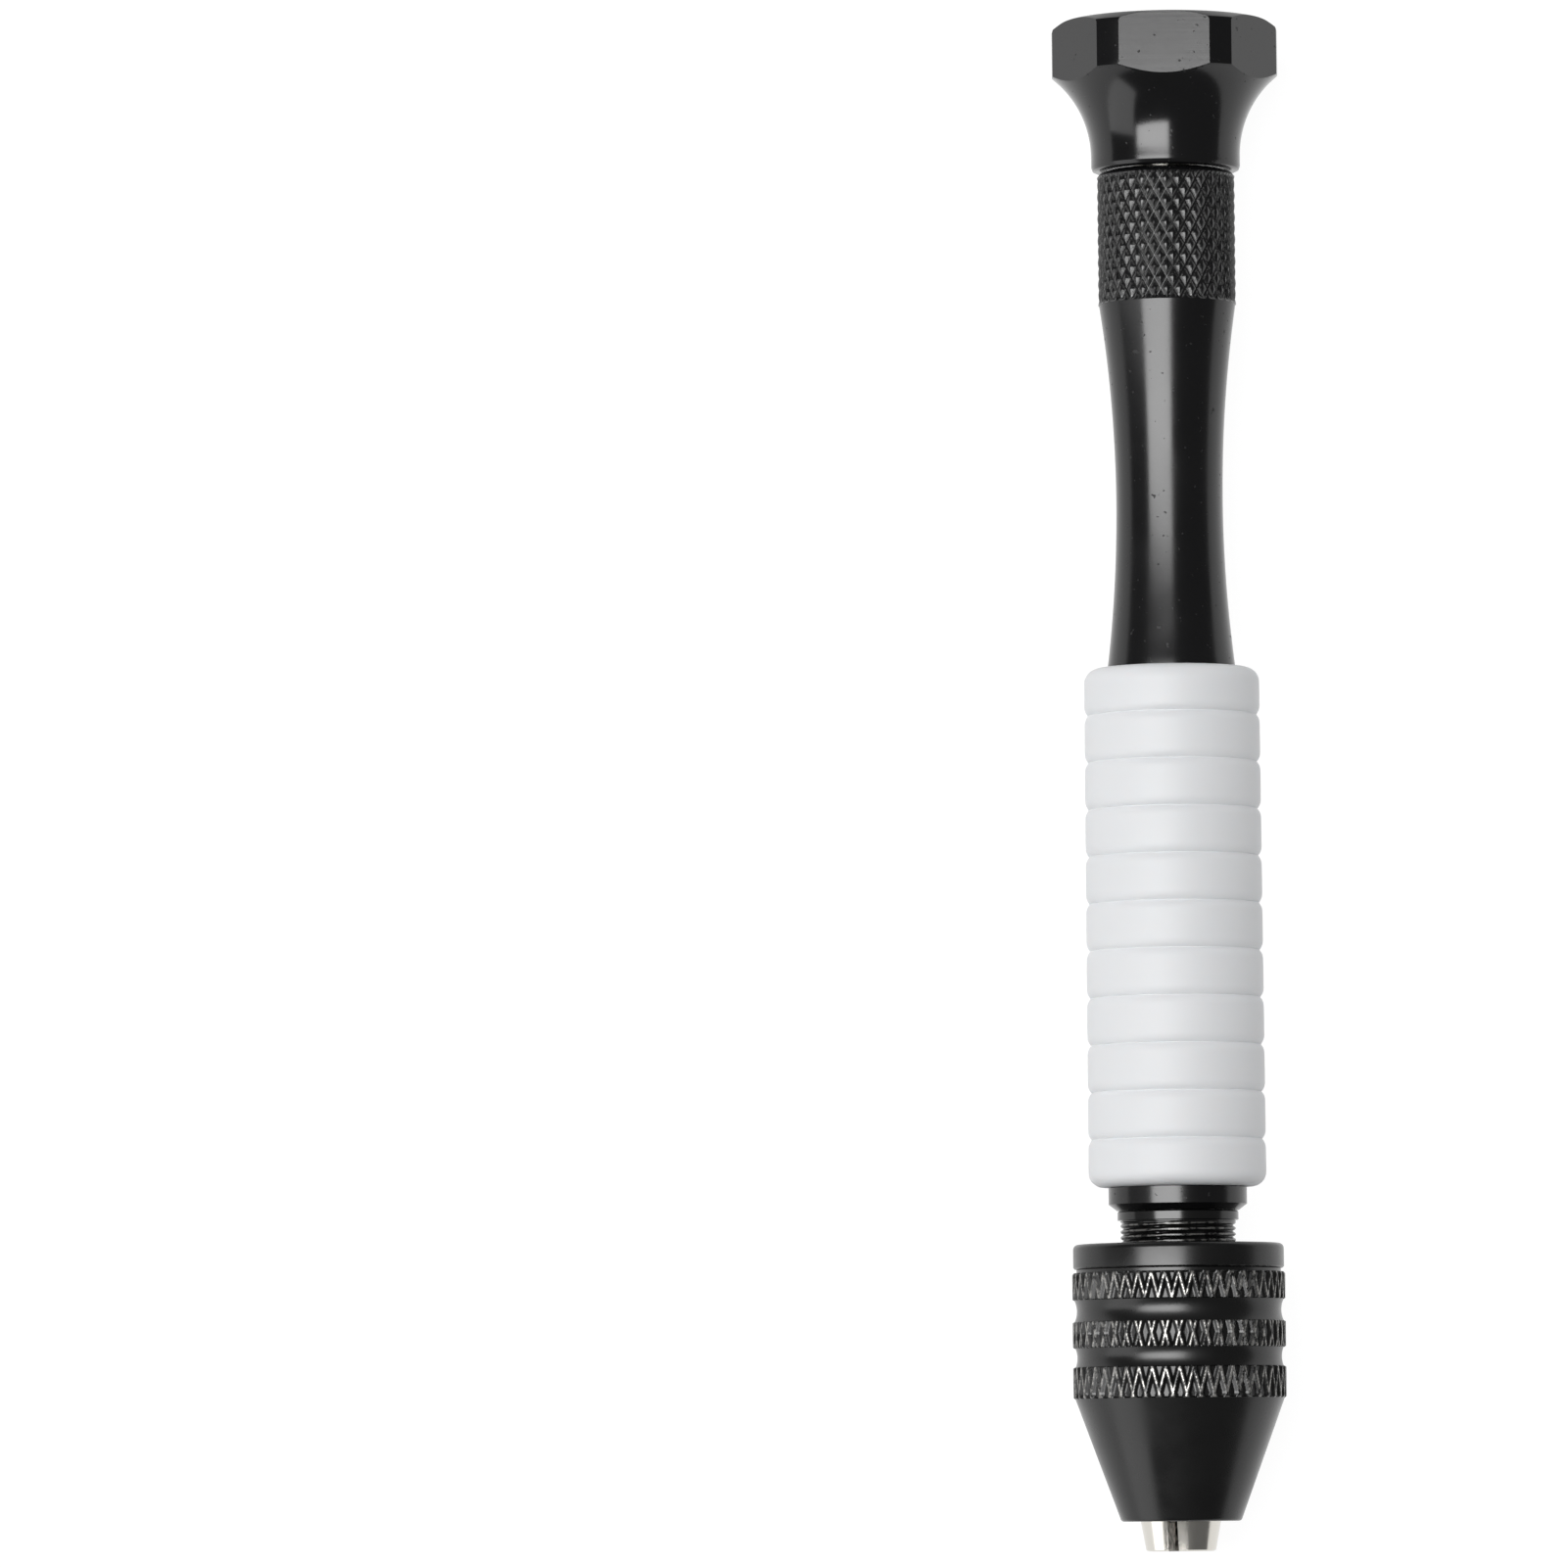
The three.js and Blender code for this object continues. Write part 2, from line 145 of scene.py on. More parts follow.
def soften(piece, width, angle=30, segments=2, smooth=35):
    """Rounds every sharp edge by width millimetres and shades the rest smooth."""
    only(piece)
    edge = piece.modifiers.new("edge", "BEVEL")
    edge.width = width * MM
    edge.segments = segments
    edge.angle_limit = math.radians(angle)
    edge.limit_method = "ANGLE"
    bpy.ops.object.modifier_apply(modifier=edge.name)
    bpy.ops.object.shade_smooth_by_angle(angle=math.radians(smooth))
    flat = piece.modifiers.new("flat", "WEIGHTED_NORMAL")
    flat.keep_sharp = True
    bpy.ops.object.modifier_apply(modifier=flat.name)
    return piece


def cut_in(piece, low, high, above_r, cut_at):
    """Shapes the skin between two heights and outside above_r. cut_at(angle, height) gives how
    deep it goes and how worn it is, from 0 to 1, which the piece keeps as its attribute "worn"."""
    worn = piece.data.attributes.get("worn") or piece.data.attributes.new("worn", "FLOAT", "POINT")
    for index, vertex in enumerate(piece.data.vertices):
        out = vertex.co - on_axis(0)
        u, out.y = out.y / MM, 0
        r = out.length / MM
        if low - 1e-3 <= u <= high + 1e-3 and r > above_r:
            depth, worn.data[index].value = cut_at(math.atan2(out.x, out.z), u)
            vertex.co -= out.normalized() * depth * MM


def knurl_rows(lines, helix_deg, radius, low, high, middle, rows_per_sample=1):
    """Heights at which the knurl's lines pass through the points of a turned skin."""
    sample = math.tau * radius / (lines * KNURL_SAMPLES)
    step = sample / math.tan(math.radians(helix_deg)) / rows_per_sample
    first = math.ceil((low - middle) / step + 0.3)
    last = math.floor((high - middle) / step - 0.3)
    return [middle + step * i for i in range(first, last + 1)]


def knurl(lines, helix_deg, radius, low, high, middle, profile):
    """Two families of lines that cross. profile(away) gives the cut and the wear, where away is
    the distance from the nearest line in half pitches. The cut fades out over the edges."""
    turn_per_mm = math.tan(math.radians(helix_deg)) / radius
    run_out = 0.25

    def away_from(phase):
        return abs(phase - round(phase)) * 2

    def cut_at(angle, u):
        lean = (u - middle) * turn_per_mm
        away = min(away_from((angle + side * lean) * lines / math.tau) for side in (-1, 1))
        depth, wear = profile(away)
        fade = max(0.0, min(1.0, (u - low) / run_out, (high - u) / run_out))
        return depth * fade, wear * fade

    return cut_at


def diamonds(away):
    """Crowned diamonds between V grooves, with the dye rubbed off beside the grooves."""
    depth, edge, width = 0.22, 0.3, 0.14
    return depth * (1 - away) ** 1.5, 0.3 * max(0.0, 1 - abs(away - edge) / width)


def linear(hex_colour):
    """An sRGB hex colour as linear RGBA."""
    parts = [int(hex_colour[i:i + 2], 16) / 255 for i in (1, 3, 5)]
    return [c / 12.92 if c <= 0.04045 else ((c + 0.055) / 1.055) ** 2.4 for c in parts] + [1.0]


def node(material, kind, settings=None, links=None):
    """Adds one shader node: settings by attribute or socket name, links by socket name."""
    made = material.node_tree.nodes.new(kind)
    for name, value in (settings or {}).items():
        if hasattr(made, name):
            setattr(made, name, value)
        else:
            made.inputs[name].default_value = value
    for name, source in (links or {}).items():
        material.node_tree.links.new(source, made.inputs[name])
    return made


def new_material(name):
    material = bpy.data.materials.new(name)
    material.use_nodes = True
    material.node_tree.nodes.clear()
    return material


def finish_with(material, settings, links):
    """The material's Principled shader and output."""
    shader = node(material, "ShaderNodeBsdfPrincipled", settings, links)
    node(material, "ShaderNodeOutputMaterial", links={"Surface": shader.outputs[0]})
    return material


def dress(piece, material):
    piece.data.materials.clear()
    piece.data.materials.append(material)
    return piece


def stretched(material, scale):
    """Object coordinates, scaled along X, Y and Z."""
    place = node(material, "ShaderNodeTexCoord")
    return node(material, "ShaderNodeMapping", {"Scale": scale}, {"Vector": place.outputs["Object"]})


def black_anodised(name, base, rough_low, rough_high, turning):
    """Black anodised aluminium, turned: a dark dyed oxide that mirrors lights softly, with fine
    turning lines round the tool, the speckle of a blasted surface, a few dull pits, and bare
    metal where the knurl's edges are rubbed. turning is the bump height."""
    material = new_material(name)
    lines_per_m = 1 / 0.00022
    everywhere = stretched(material, (1, 1, 1)).outputs[0]
    rings = node(material, "ShaderNodeTexNoise",
                 {"Scale": 1.0, "Detail": 2.0, "Roughness": 0.6},
                 {"Vector": stretched(material, (30, lines_per_m, 30)).outputs[0]})
    speck = node(material, "ShaderNodeTexNoise",
                 {"Scale": 1 / 0.0004, "Detail": 3.0, "Roughness": 0.65}, {"Vector": everywhere})
    patch = node(material, "ShaderNodeTexNoise",
                 {"Scale": 1 / 0.006, "Detail": 4.0}, {"Vector": everywhere})
    pit = node(material, "ShaderNodeTexNoise",
               {"Scale": 1 / 0.0005, "Detail": 1.0}, {"Vector": everywhere})
    worn = node(material, "ShaderNodeAttribute", {"attribute_name": "worn"})
    broken = node(material, "ShaderNodeMapRange", {"From Min": 0.42, "From Max": 0.58},
                  {"Value": speck.outputs["Fac"]})
    rubbed = node(material, "ShaderNodeMath", {"operation": "MULTIPLY"},
                  {0: worn.outputs["Fac"], 1: broken.outputs[0]})
    mixed = node(material, "ShaderNodeMath", {"operation": "ADD"},
                 {0: rings.outputs["Fac"], 1: speck.outputs["Fac"]})
    bump = node(material, "ShaderNodeBump", {"Strength": 1.0, "Distance": turning},
                {"Height": mixed.outputs[0]})
    satin = node(material, "ShaderNodeMapRange",
                 {"From Min": 0.3, "From Max": 0.7, "To Min": rough_low, "To Max": rough_high},
                 {"Value": patch.outputs["Fac"]})
    dull = node(material, "ShaderNodeMapRange",
                {"From Min": 0.72, "From Max": 0.76, "To Min": 0.0, "To Max": 0.4},
                {"Value": pit.outputs["Fac"]})
    rough = node(material, "ShaderNodeMath", {"operation": "ADD"},
                 {0: satin.outputs[0], 1: dull.outputs[0]})
    dye = node(material, "ShaderNodeMix", {"data_type": "RGBA"}, {0: speck.outputs["Fac"]})
    dye.inputs[6].default_value = linear(base)
    dye.inputs[7].default_value = [c * 1.8 for c in linear(base)[:3]] + [1.0]
    colour = node(material, "ShaderNodeMix", {"data_type": "RGBA"},
                  {0: rubbed.outputs[0], 6: dye.outputs[2]})
    colour.inputs[7].default_value = linear("#c9c9c7")
    return finish_with(material, {"IOR": 1.45},
                       {"Base Color": colour.outputs[2], "Metallic": rubbed.outputs[0],
                        "Roughness": rough.outputs[0], "Normal": bump.outputs[0]})


anodised = black_anodised("black_anodised_aluminium", "#0b0b0c", 0.18, 0.25, 0.9e-6)

waist = [(WAIST_R + (u - WAIST_U) ** 2 / (2 * WAIST_ARC), u)
         for u in steps_between(76.56, HANDLE_KNURL[0], 0.8)]
handle_knurl = (HANDLE_KNURL_LINES, HANDLE_KNURL_HELIX, BAR_R, *HANDLE_KNURL, HANDLE_KNURL_MIDDLE)
crests = [(BAR_R, u) for u in (HANDLE_KNURL[0], *knurl_rows(*handle_knurl), HANDLE_KNURL[1])]
handle = turn("handle_body_turned", [
    (0, 21.8), (2.6, 21.8), (2.9, 22.1), (2.9, 29.46), (5.3, 29.46), (BAR_R, 30.0),
    (BAR_R, 31.42), (5.5, 31.42), *waist, *crests,
    (5.75, 119.8), (2.0, 119.8), (2.0, 113.5), (0, 113.5),
], HANDLE_KNURL_LINES * KNURL_SAMPLES)
cut_in(handle, *HANDLE_KNURL, 5.9, knurl(*handle_knurl, diamonds))
only(handle)
bpy.ops.object.shade_smooth_by_angle(angle=math.radians(22))
dress(handle, anodised)
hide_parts("handle_body")
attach(handle, "handle")

# ---------------------------------------------------------------- grip
# A tube of white silicone, stretched over its seat. Ten shallow grooves leave eleven round-edged
# ribs, and its ends are rounded by the mould.

GRIP_LOW, GRIP_HIGH = 31.5, 76.56
GRIP_RIBS = 11
GRIP_R_FRONT, GRIP_R_BACK = 7.7, 7.6
GRIP_BORE = 5.52


def white_silicone():
    """Moulded silicone: matte white with a soft sheen, a little light under the skin and the
    fine grain of a blasted mould."""
    material = new_material("white_silicone")
    grain = node(material, "ShaderNodeTexNoise", {"Scale": 1 / 0.00025, "Detail": 2.0},
                 {"Vector": stretched(material, (1, 1, 1)).outputs[0]})
    cloud = node(material, "ShaderNodeTexNoise", {"Scale": 1 / 0.012, "Detail": 3.0},
                 {"Vector": stretched(material, (1, 1, 1)).outputs[0]})
    bump = node(material, "ShaderNodeBump", {"Strength": 0.5, "Distance": 6e-6},
                {"Height": grain.outputs["Fac"]})
    colour = node(material, "ShaderNodeMix", {"data_type": "RGBA"}, {0: cloud.outputs["Fac"]})
    colour.inputs[6].default_value = linear("#e8eaec")
    colour.inputs[7].default_value = linear("#edeef0")
    rough = node(material, "ShaderNodeMapRange", {"To Min": 0.48, "To Max": 0.62},
                 {"Value": cloud.outputs["Fac"]})
    return finish_with(material, {"Metallic": 0.0, "IOR": 1.41, "Subsurface Weight": 0.15,
                                  "Subsurface Radius": (0.0012, 0.001, 0.0009),
                                  "Subsurface Scale": 1.0},
                       {"Base Color": colour.outputs[2], "Roughness": rough.outputs[0],
                        "Normal": bump.outputs[0]})


def grip_outline():
    rib = (GRIP_HIGH - GRIP_LOW) / GRIP_RIBS
    shoulder, dip, end_r, slit = 0.75, 0.26, 1.25, 0.12

    def skin(u):
        return GRIP_R_FRONT + (GRIP_R_BACK - GRIP_R_FRONT) * (u - GRIP_LOW) / (GRIP_HIGH - GRIP_LOW)

    points = bend((GRIP_R_FRONT - end_r, GRIP_LOW + end_r), end_r, -90, 0, 8)
    for i in range(1, GRIP_RIBS):
        u = GRIP_LOW + rib * i
        fall = [(skin(u) - dip * (j / 4) ** 2.2, u - slit / 2 - shoulder * (1 - j / 4))
                for j in range(5)]
        rise = [(r, 2 * u - height) for r, height in reversed(fall)]
        points += [*fall, (skin(u) - dip - 0.06, u - 0.02), (skin(u) - dip - 0.06, u + 0.02), *rise]
        points.append((skin(u), u + rib / 2))
    points.pop()
    points += bend((GRIP_R_BACK - end_r, GRIP_HIGH - end_r), end_r, 0, 90, 8)
    return [(GRIP_BORE, GRIP_LOW), *points, (GRIP_BORE, GRIP_HIGH)]


grip = turn("grip_moulded", grip_outline(), 160)
only(grip)
bpy.ops.object.shade_smooth_by_angle(angle=math.radians(50))
dress(grip, white_silicone())
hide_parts("grip_sleeve")
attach(grip, "handle")

# ---------------------------------------------------------------- chuck core
# The steel core of the chuck: a flanged neck that shoulders on the handle, an M10 x 0.5 thread
# that the sleeve screws along, and a plain nose that holds the jaws' back ends. Blacked.

THREAD = (16.2, 28.5)
THREAD_PITCH = 0.5
THREAD_R = 5.0


def thread_cut(angle, u):
    """A right-hand thread of 60 degrees, run out at both ends, rubbed bright on its crests."""
    phase = u / THREAD_PITCH - angle / math.tau
    away = abs(phase - round(phase)) * 2
    run_out = max(0.0, min(1.0, (u - THREAD[0]) / 0.3, (THREAD[1] - u) / 0.3))
    depth, crest = 0.27, 0.68
    return depth * max(0.0, 1 - away / crest) * run_out, 0.22 * (away > crest) * run_out


def black_oxide(name, base, rough):
    """Steel blacked in a hot salt bath and oiled: almost black, with a smooth satin gloss, faint
    turning lines, and bare steel where edges and crests are rubbed."""
    material = new_material(name)
    rings = node(material, "ShaderNodeTexNoise", {"Scale": 1.0, "Detail": 3.0},
                 {"Vector": stretched(material, (20, 1 / 0.0003, 20)).outputs[0]})
    smudge = node(material, "ShaderNodeTexNoise", {"Scale": 1 / 0.004, "Detail": 5.0},
                  {"Vector": stretched(material, (1, 1, 1)).outputs[0]})
    nick = node(material, "ShaderNodeTexNoise", {"Scale": 1 / 0.0006, "Detail": 3.0},
                {"Vector": stretched(material, (1, 1, 1)).outputs[0]})
    broken = node(material, "ShaderNodeMapRange", {"From Min": 0.42, "From Max": 0.56},
                  {"Value": nick.outputs["Fac"]})
    worn = node(material, "ShaderNodeAttribute", {"attribute_name": "worn"})
    rubbed = node(material, "ShaderNodeMath", {"operation": "MULTIPLY"},
                  {0: worn.outputs["Fac"], 1: broken.outputs[0]})
    bump = node(material, "ShaderNodeBump", {"Strength": 1.0, "Distance": 0.8e-6},
                {"Height": rings.outputs["Fac"]})
    roughness = node(material, "ShaderNodeMapRange",
                     {"From Min": 0.3, "From Max": 0.7, "To Min": rough, "To Max": rough + 0.08},
                     {"Value": smudge.outputs["Fac"]})
    oxide = node(material, "ShaderNodeMix", {"data_type": "RGBA"}, {0: smudge.outputs["Fac"]})
    oxide.inputs[6].default_value = linear(base)
    oxide.inputs[7].default_value = [c * 1.6 for c in linear(base)[:3]] + [1.0]
    colour = node(material, "ShaderNodeMix", {"data_type": "RGBA"},
                  {0: rubbed.outputs[0], 6: oxide.outputs[2]})
    colour.inputs[7].default_value = linear("#bcbab6")
    return finish_with(material, {"IOR": 1.45},
                       {"Base Color": colour.outputs[2], "Metallic": rubbed.outputs[0],
                        "Roughness": roughness.outputs[0], "Normal": bump.outputs[0]})


blacked = black_oxide("black_oxide_steel", "#0b0b0b", 0.24)

thread_rows = [(THREAD_R, u) for u in steps_between(*THREAD, THREAD_PITCH / 8)]
core = turn("chuck_core_threaded", [
    (1.8, 11.2), (4.35, 11.2), (4.55, 11.4), (4.55, 16.0), *thread_rows,
    (5.0, 28.55), (5.25, 28.62), (5.25, 29.3), (5.15, 29.4), (3.05, 29.4), (3.05, 21.0), (1.8, 21.0),
], 96)
cut_in(core, *THREAD, 4.9, thread_cut)
only(core)
bpy.ops.object.shade_smooth_by_angle(angle=math.radians(30))
oiled = black_oxide("oiled_black_oxide_steel", "#0b0b0b", 0.13)
dress(core, oiled)
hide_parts("chuck_core")
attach(core, "handle")

# ---------------------------------------------------------------- chuck sleeve and bush
# The sleeve has a cone that closes the jaws, three knurled bands for the fingers and polished
# grooves between them. A threaded bush with a smooth rim is pressed in its open end.

SLEEVE_LINES = 48
SLEEVE_HELIX = 15
BAND_R = 9.22
GROOVE_R, GROOVE_ARC = 8.85, 2.2
BANDS = ((13.2, 15.93, 15.85), (17.57, 19.85, 18.8), (21.73, 24.08, 24.05))


def ridges(away):
    """Narrow raised lines round sunken diamonds, rubbed bright along their tops."""
    depth, crest = 0.26, 0.13
    return depth * min(1.0, max(0.0, (away - crest) / 0.45)), 0.8 * max(0.0, 1 - away / 0.22)


def hollow(low, high):
    """The round-bottomed groove between two bands."""
    half = (high - low) / 2
    reach = math.degrees(math.asin(half / GROOVE_ARC))
    return bend((GROOVE_R + GROOVE_ARC, low + half), GROOVE_ARC, 180 + reach, 180 - reach, 10)


band_rows = []
for index, (low, high, middle) in enumerate(BANDS):
    rows = knurl_rows(SLEEVE_LINES, SLEEVE_HELIX, BAND_R, low, high, middle, 2)
    band_rows += [(BAND_R - 0.12, low), *[(BAND_R, u) for u in rows], (BAND_R - 0.12, high)]
    if index < 2:
        band_rows += hollow(high + 0.02, BANDS[index + 1][0] - 0.02)
sleeve = turn("chuck_sleeve_knurled", [
    (3.79, 2.75), (3.93, 2.58), (4.95, 2.58), *bend((4.96, 2.9), 0.32, -80, -10, 5),
    (9.05, 13.18), *band_rows,
    (8.85, 24.1), (8.85, 24.36), (7.7, 24.36), (7.7, 18.54), (7.3, 16.7),
], SLEEVE_LINES * KNURL_SAMPLES)
for low, high, middle in BANDS:
    cut_in(sleeve, low, high, 9.15,
           knurl(SLEEVE_LINES, SLEEVE_HELIX, BAND_R, low - 0.2, high + 0.2, middle, ridges))
only(sleeve)
bpy.ops.object.shade_smooth_by_angle(angle=math.radians(25))
dress(sleeve, blacked)
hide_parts("chuck_sleeve")
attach(sleeve, "sleeve")

bush = turn("threaded_bush_turned", [
    (5.05, 18.6), (7.4, 18.6), (7.6, 18.8), (7.6, 24.42), (9.0, 24.42), (9.13, 24.55),
    *bend((8.68, 26.11), 0.45, 0, 90, 6), (5.3, 26.56), (5.05, 26.3),
], 192)
only(bush)
bpy.ops.object.shade_smooth_by_angle(angle=math.radians(30))
dress(bush, blacked)
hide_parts("threaded_bush")
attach(bush, "bush")

# ---------------------------------------------------------------- jaws and their springs
# Three hardened steel jaws, each a third of a tapered bar, ground bright outside and left sawn on
# their cheeks, with a narrow flat that bites the drill. Small coil springs push them apart; each
# is left short at its far end by CLOSING_ROOM, so the next jaw can close.

JAW_ANGLES = (-74, 46, 166)
JAW_OPEN = 0.46
JAW_HALF_GAP = 0.05
JAW_BITE = 0.15
JAW_LENGTH = 11.14
SPRING_U, SPRING_OUT = 8.5, 3.1
SPRING_HOLE, SPRING_HOLE_R = 1.6, 0.7
SPRING_R, SPRING_WIRE_R, SPRING_TURNS = 0.45, 0.09, 6
SPRING_END_GAP = 0.06
CLOSING_ROOM = 0.85


def ground_steel(name, base, rough):
    """Hardened tool steel, ground: bright, a little warm, with fine grinding lines."""
    material = new_material(name)
    lines = node(material, "ShaderNodeTexNoise", {"Scale": 1.0, "Detail": 3.0},
                 {"Vector": stretched(material, (1 / 0.0002, 60, 1 / 0.0002)).outputs[0]})
    bump = node(material, "ShaderNodeBump", {"Strength": 1.0, "Distance": 1.5e-6},
                {"Height": lines.outputs["Fac"]})
    roughness = node(material, "ShaderNodeMapRange", {"To Min": rough, "To Max": rough + 0.12},
                     {"Value": lines.outputs["Fac"]})
    return finish_with(material, {"Metallic": 1.0, "Base Color": linear(base)},
                       {"Roughness": roughness.outputs[0], "Normal": bump.outputs[0]})


def sawn_steel(name, bare_colour, painted_shade_colour):
    """The cheeks that a slitting saw left: dull and speckled, with near-black patches that are
    painted shade for the narrow gaps between the jaws.
    """
    material = new_material(name)
    painted_shade_patches = node(material, "ShaderNodeTexNoise",
                 {"Scale": 1 / 0.0005, "Detail": 4.0, "Roughness": 0.7},
                 {"Vector": stretched(material, (1, 1, 1)).outputs[0]})
    painted_shade_mask = node(material, "ShaderNodeMapRange", {"From Min": 0.44, "From Max": 0.56},
                  # The mask mixes the bare steel with the near-black painted shade.
                  {"Value": painted_shade_patches.outputs["Fac"]})
    colour = node(material, "ShaderNodeMix", {"data_type": "RGBA"}, {0: painted_shade_mask.outputs[0]})
    colour.inputs[6].default_value = linear(painted_shade_colour)
    colour.inputs[7].default_value = linear(bare_colour)
    bump = node(material, "ShaderNodeBump", {"Strength": 1.0, "Distance": 8e-6},
                {"Height": painted_shade_patches.outputs["Fac"]})
    return finish_with(material, {"Metallic": 1.0, "Roughness": 0.38},
                       {"Base Color": colour.outputs[2], "Normal": bump.outputs[0]})


ground = ground_steel("ground_tool_steel", "#d2cfc8", 0.12)
# The near-black second colour of the sawn cheeks is painted shade for the gaps between the jaws.
sawn = sawn_steel("sawn_tool_steel_painted_shade", "#8f8a82", "#171615")
wire = ground_steel("spring_wire", "#b9b6ae", 0.25)


def keep_side(piece, point, outwards):
    """Cuts piece by a plane, drops what lies outwards and closes the cut."""
    only(piece)
    bpy.ops.object.mode_set(mode="EDIT")
    bpy.ops.mesh.select_all(action="SELECT")
    bpy.ops.mesh.bisect(plane_co=point, plane_no=outwards.normalized(), threshold=1e-7,
                        use_fill=True, clear_outer=True)
    bpy.ops.object.mode_set(mode="OBJECT")


def drill(piece, from_point, to_point, radius, sides=32):
    """Bores a round hole between two points."""
    along = to_point - from_point
    bpy.ops.object.select_all(action="DESELECT")
    bpy.ops.mesh.primitive_cylinder_add(
        vertices=sides, radius=radius * MM, depth=along.length,
        location=(from_point + to_point) / 2, rotation=along.to_track_quat("Z", "Y").to_euler())
    cutter = bpy.context.object
    only(piece)
    bore = piece.modifiers.new("bore", "BOOLEAN")
    bore.object = cutter
    bore.operation = "DIFFERENCE"
    bpy.ops.object.modifier_apply(modifier=bore.name)
    bpy.data.objects.remove(cutter)


def coil(name, start, end, radius, wire_r, turns):
    """A compression spring between two points, with its end turns closed."""
    along = (end - start).normalized()
    side = along.orthogonal().normalized()
    other = along.cross(side)
    count = turns * 24
    length = (end - start).length - 2 * wire_r * MM
    curve = bpy.data.curves.new(name, "CURVE")
    curve.dimensions = "3D"
    curve.bevel_depth = wire_r * MM
    curve.bevel_resolution = 3
    curve.use_fill_caps = True
    line = curve.splines.new("POLY")
    line.points.add(count)
    for i, point in enumerate(line.points):
        a = math.tau * turns * i / count
        share = i / count
        rise = share - math.sin(math.tau * share) * 0.08
        at = (start + along * (wire_r * MM + length * rise)
              + (side * math.cos(a) + other * math.sin(a)) * radius * MM)
        point.co = (*at, 1)
    spring = bpy.data.objects.new(name, curve)
    bpy.context.scene.collection.objects.link(spring)
    only(spring)
    bpy.ops.object.convert(target="MESH")
    bpy.ops.object.shade_smooth()
    return bpy.context.object


for index, centre in enumerate(JAW_ANGLES, start=1):
    jaw = turn(f"jaw_{index}_ground", [
        (0, 0), (2.5, 0), (2.64, 0.12), (3.09, 2.58), (5.16, 10.9), (5.0, JAW_LENGTH),
        (0, JAW_LENGTH),
    ], 120)
    cheeks = []
    for side in (-1, 1):
        outwards = around(centre + side * 150, 1, 0) - on_axis(0)
        cheeks.append(outwards.normalized())
        keep_side(jaw, on_axis(0) - outwards * JAW_HALF_GAP, outwards)
        gap_centre = around(centre + side * 60, SPRING_OUT, SPRING_U)
        across = around(centre + side * 150, SPRING_HOLE + JAW_HALF_GAP, 0) - on_axis(0)
        drill(jaw, gap_centre - across, gap_centre, SPRING_HOLE_R)
    inwards = on_axis(0) - around(centre, 1, 0)
    keep_side(jaw, around(centre, JAW_BITE, 0), inwards)
    soften(jaw, 0.2, angle=40)
    jaw.data.transform(Matrix.Translation(around(centre, JAW_OPEN, 0) - on_axis(0)))
    dress(jaw, ground)
    # The cheeks, which face the gaps between the jaws, get the sawn steel with its painted shade.
    jaw.data.materials.append(sawn)
    for face in jaw.data.polygons:
        if any(face.normal.dot(cheek) > 0.98 for cheek in cheeks):
            face.material_index = 1
    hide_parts(f"jaw_{index}")
    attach(jaw, f"jaw_{index}")

    middle = around(centre + 60, SPRING_OUT + JAW_OPEN / 2, SPRING_U)
    opened = JAW_OPEN * math.sin(math.radians(60))
    half_length = SPRING_HOLE - SPRING_END_GAP + JAW_HALF_GAP + opened
    across = around(centre + 150, 1, 0) - on_axis(0)
    spring = coil(f"jaw_spring_{index}_coil", middle - across * half_length,
                  middle + across * (half_length - CLOSING_ROOM),
                  SPRING_R, SPRING_WIRE_R, SPRING_TURNS)
    dress(spring, wire)
    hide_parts(f"jaw_spring_{index}")
    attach(spring, f"jaw_{index}")

# ---------------------------------------------------------------- swivel cap
# A palm cap turned from aluminium, flared like a mushroom, then milled with six flats. A disc
# pressed in its end covers the screw that it turns on.

COLLAR_R, FLARE_U, FLARE_ARC = 6.49, 121.3, 9.1
HEX_CORNER_R, HEX_APOTHEM = 9.82, 9.0
flare_deg = math.degrees(math.acos(1 - (HEX_CORNER_R - COLLAR_R) / FLARE_ARC))

cap = turn("swivel_cap_milled", [
    (5.1, 120.0), (6.1, 120.0), (6.38, 120.12), (COLLAR_R, 120.42), (COLLAR_R, 120.8),
    *bend((COLLAR_R + FLARE_ARC, FLARE_U), FLARE_ARC, 180, 180 - flare_deg, 28),
    (HEX_CORNER_R, 128.7), (HEX_CORNER_R, 132.2), (9.75, 132.45), (9.15, 132.9), (8.95, 133.0),
    (7.2, 133.0), (7.1, 132.9), (7.1, 131.44), (4.4, 131.44), (4.4, 125.26), (5.1, 125.26),
], 240)
for flat in range(6):
    outwards = around(60 * flat, 1, 0) - on_axis(0)
    keep_side(cap, around(60 * flat, HEX_APOTHEM, 0), outwards)
soften(cap, 0.12, angle=18, segments=3, smooth=30)
milled = black_anodised("polished_anodised_aluminium", "#0b0b0c", 0.13, 0.2, 1.2e-6)
dress(cap, milled)
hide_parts("swivel_cap")
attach(cap, "cap")

disc = turn("cap_end_disc_turned", [
    (0, 131.5), (6.9, 131.5), (7.0, 131.6), (7.0, 132.75), (6.85, 132.9), (0, 132.9),
], 160)
only(disc)
bpy.ops.object.shade_smooth_by_angle(angle=math.radians(30))
dress(disc, anodised)
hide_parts("cap_end_disc")
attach(disc, "cap")

# ---------------------------------------------------------------- bearing and its screw
# A 4 x 10 x 4 ball bearing pressed in the cap: two polished rings with round races, seven balls
# in a brass crown cage, and thin pressed shields. The cap turns on it about a shoulder screw.

BEARING_LOW, BEARING_HIGH = 121.2, 125.2
BALL_MIDDLE, BALL_PITCH_R, BALL_R, BALLS = 123.2, 3.5, 0.9, 7
POCKET_R = 1.0
RACE_R, RACE_DEPTH = 0.95, 0.6
race_deg = math.degrees(math.acos(RACE_DEPTH / RACE_R))


